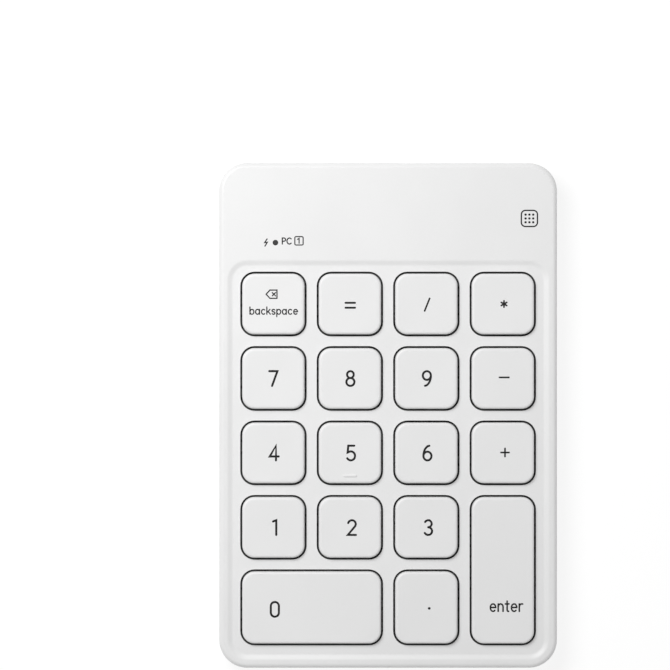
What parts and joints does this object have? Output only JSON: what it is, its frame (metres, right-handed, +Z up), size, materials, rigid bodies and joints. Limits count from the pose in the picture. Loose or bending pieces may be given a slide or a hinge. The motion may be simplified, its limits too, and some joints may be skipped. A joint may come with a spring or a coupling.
{
  "type": "numeric keypad",
  "caption": "Slim white wireless numeric keypad with low scissor keys, a sunken key field, a tall enter key, a wide zero and a plug-in radio receiver stored in its rear edge.",
  "frame": {"origin": "on the surface that the feet stand on, under the middle of the case", "axes": "+X to the user's right, +Y to the rear edge, +Z up out of the keys"},
  "size_m": [0.084, 0.1254, 0.0116],
  "materials": {
    "case_white": "fine satin moulded ABS",
    "key_white": "smooth satin moulded ABS",
    "link_plastic": "natural acetal",
    "plate_steel": "zinc-plated sheet",
    "wire_steel": "drawn spring wire",
    "membrane_film": "clear polyester film with printed silver tracks",
    "dome_rubber": "translucent silicone rubber",
    "board_green": "solder mask on glass-epoxy",
    "chip_black": "moulded epoxy",
    "clamp_black": "glass-filled nylon",
    "small_parts": "fired ceramic and plated ends",
    "connector_steel": "nickel-plated stainless shell",
    "tongue_black": "liquid-crystal polymer",
    "switch_black": "acetal",
    "led_body": "clear epoxy",
    "window_smoke": "smoked light pipe",
    "cell_pouch": "laminated aluminium pouch",
    "tape": "double-sided adhesive tape",
    "lead_red": "insulated lead",
    "receiver_white": "fine satin moulded ABS",
    "screw_steel": "zinc-plated",
    "foot_rubber": "soft grey rubber"
  },
  "bodies": {
    "case": {"top_cover": "case_white", "bottom_cover": "case_white", "base_plate": "plate_steel", "membrane": "membrane_film", "rubber_domes": "dome_rubber", "membrane_clamp": "clamp_black", "circuit_board": "board_green", "controller_chip": "chip_black", "board_parts": "small_parts", "charge_socket_shell": "connector_steel", "charge_socket_tongue": "tongue_black", "power_switch_body": "connector_steel", "status_led": "led_body", "indicator_window": "window_smoke", "battery_cell": "cell_pouch", "battery_tape": "tape", "battery_leads": "lead_red", "case_screws": "screw_steel", "rubber_feet": "foot_rubber", "scissor_backspace": "link_plastic", "scissor_equals": "link_plastic", "scissor_slash": "link_plastic", "scissor_star": "link_plastic", "scissor_7": "link_plastic", "scissor_8": "link_plastic", "scissor_9": "link_plastic", "scissor_minus": "link_plastic", "scissor_4": "link_plastic", "scissor_5": "link_plastic", "scissor_6": "link_plastic", "scissor_plus": "link_plastic", "scissor_1": "link_plastic", "scissor_2": "link_plastic", "scissor_3": "link_plastic", "scissor_enter": "link_plastic", "scissor_0": "link_plastic", "scissor_point": "link_plastic"},
    "key_backspace": {"key_backspace": "key_white"},
    "key_equals": {"key_equals": "key_white"},
    "key_slash": {"key_slash": "key_white"},
    "key_star": {"key_star": "key_white"},
    "key_7": {"key_7": "key_white"},
    "key_8": {"key_8": "key_white"},
    "key_9": {"key_9": "key_white"},
    "key_minus": {"key_minus": "key_white"},
    "key_4": {"key_4": "key_white"},
    "key_5": {"key_5": "key_white"},
    "key_6": {"key_6": "key_white"},
    "key_plus": {"key_plus": "key_white"},
    "key_1": {"key_1": "key_white"},
    "key_2": {"key_2": "key_white"},
    "key_3": {"key_3": "key_white"},
    "key_enter": {"key_enter": "key_white"},
    "key_0": {"key_0": "key_white"},
    "key_point": {"key_point": "key_white"},
    "stabilizer_enter": {"stabilizer_enter": "wire_steel"},
    "stabilizer_0": {"stabilizer_0": "wire_steel"},
    "switch_slider": {"power_switch_slider": "switch_black"},
    "receiver": {"receiver_shell": "receiver_white", "receiver_plug": "connector_steel"}
  },
  "joints": [
    {"name": "key_backspace_travel", "type": "slide", "parent": "case", "child": "key_backspace", "axis": [0, 0, -1], "range_m": [0, 0.0015], "stiffness_N_per_m": 220, "springref_m": -0.0006, "deforming": ["scissor_backspace"]},
    {"name": "key_equals_travel", "type": "slide", "parent": "case", "child": "key_equals", "axis": [0, 0, -1], "range_m": [0, 0.0015], "stiffness_N_per_m": 220, "springref_m": -0.0006, "deforming": ["scissor_equals"]},
    {"name": "key_slash_travel", "type": "slide", "parent": "case", "child": "key_slash", "axis": [0, 0, -1], "range_m": [0, 0.0015], "stiffness_N_per_m": 220, "springref_m": -0.0006, "deforming": ["scissor_slash"]},
    {"name": "key_star_travel", "type": "slide", "parent": "case", "child": "key_star", "axis": [0, 0, -1], "range_m": [0, 0.0015], "stiffness_N_per_m": 220, "springref_m": -0.0006, "deforming": ["scissor_star"]},
    {"name": "key_7_travel", "type": "slide", "parent": "case", "child": "key_7", "axis": [0, 0, -1], "range_m": [0, 0.0015], "stiffness_N_per_m": 220, "springref_m": -0.0006, "deforming": ["scissor_7"]},
    {"name": "key_8_travel", "type": "slide", "parent": "case", "child": "key_8", "axis": [0, 0, -1], "range_m": [0, 0.0015], "stiffness_N_per_m": 220, "springref_m": -0.0006, "deforming": ["scissor_8"]},
    {"name": "key_9_travel", "type": "slide", "parent": "case", "child": "key_9", "axis": [0, 0, -1], "range_m": [0, 0.0015], "stiffness_N_per_m": 220, "springref_m": -0.0006, "deforming": ["scissor_9"]},
    {"name": "key_minus_travel", "type": "slide", "parent": "case", "child": "key_minus", "axis": [0, 0, -1], "range_m": [0, 0.0015], "stiffness_N_per_m": 220, "springref_m": -0.0006, "deforming": ["scissor_minus"]},
    {"name": "key_4_travel", "type": "slide", "parent": "case", "child": "key_4", "axis": [0, 0, -1], "range_m": [0, 0.0015], "stiffness_N_per_m": 220, "springref_m": -0.0006, "deforming": ["scissor_4"]},
    {"name": "key_5_travel", "type": "slide", "parent": "case", "child": "key_5", "axis": [0, 0, -1], "range_m": [0, 0.0015], "stiffness_N_per_m": 220, "springref_m": -0.0006, "deforming": ["scissor_5", "rubber_domes"]},
    {"name": "key_6_travel", "type": "slide", "parent": "case", "child": "key_6", "axis": [0, 0, -1], "range_m": [0, 0.0015], "stiffness_N_per_m": 220, "springref_m": -0.0006, "deforming": ["scissor_6"]},
    {"name": "key_plus_travel", "type": "slide", "parent": "case", "child": "key_plus", "axis": [0, 0, -1], "range_m": [0, 0.0015], "stiffness_N_per_m": 220, "springref_m": -0.0006, "deforming": ["scissor_plus"]},
    {"name": "key_1_travel", "type": "slide", "parent": "case", "child": "key_1", "axis": [0, 0, -1], "range_m": [0, 0.0015], "stiffness_N_per_m": 220, "springref_m": -0.0006, "deforming": ["scissor_1"]},
    {"name": "key_2_travel", "type": "slide", "parent": "case", "child": "key_2", "axis": [0, 0, -1], "range_m": [0, 0.0015], "stiffness_N_per_m": 220, "springref_m": -0.0006, "deforming": ["scissor_2"]},
    {"name": "key_3_travel", "type": "slide", "parent": "case", "child": "key_3", "axis": [0, 0, -1], "range_m": [0, 0.0015], "stiffness_N_per_m": 220, "springref_m": -0.0006, "deforming": ["scissor_3"]},
    {"name": "key_enter_travel", "type": "slide", "parent": "case", "child": "key_enter", "axis": [0, 0, -1], "range_m": [0, 0.0015], "stiffness_N_per_m": 260, "springref_m": -0.0006, "deforming": ["scissor_enter"]},
    {"name": "key_0_travel", "type": "slide", "parent": "case", "child": "key_0", "axis": [0, 0, -1], "range_m": [0, 0.0015], "stiffness_N_per_m": 260, "springref_m": -0.0006, "deforming": ["scissor_0"]},
    {"name": "key_point_travel", "type": "slide", "parent": "case", "child": "key_point", "axis": [0, 0, -1], "range_m": [0, 0.0015], "stiffness_N_per_m": 220, "springref_m": -0.0006, "deforming": ["scissor_point"]},
    {"name": "stabilizer_0_turn", "type": "hinge", "parent": "case", "child": "stabilizer_0", "pos_m": [-0.019, -0.04828, 0.0072], "axis": [-1, 0, 0], "range_deg": [0, 10.85]},
    {"name": "stabilizer_enter_turn", "type": "hinge", "parent": "case", "child": "stabilizer_enter", "pos_m": [0.02672, -0.03845, 0.0072], "axis": [0, 1, 0], "range_deg": [0, 10.85]},
    {"name": "power_switch", "type": "slide", "parent": "case", "child": "switch_slider", "axis": [1, 0, 0], "range_m": [0, 0.002]},
    {"name": "receiver_out", "type": "slide", "parent": "case", "child": "receiver", "axis": [0, 1, 0], "range_m": [0, 0.022]}
  ],
  "couplings": [
    {"joint": "stabilizer_0_turn", "follows": "key_0_travel", "rad_per_m": 125.6},
    {"joint": "stabilizer_enter_turn", "follows": "key_enter_travel", "rad_per_m": 125.6}
  ]
}
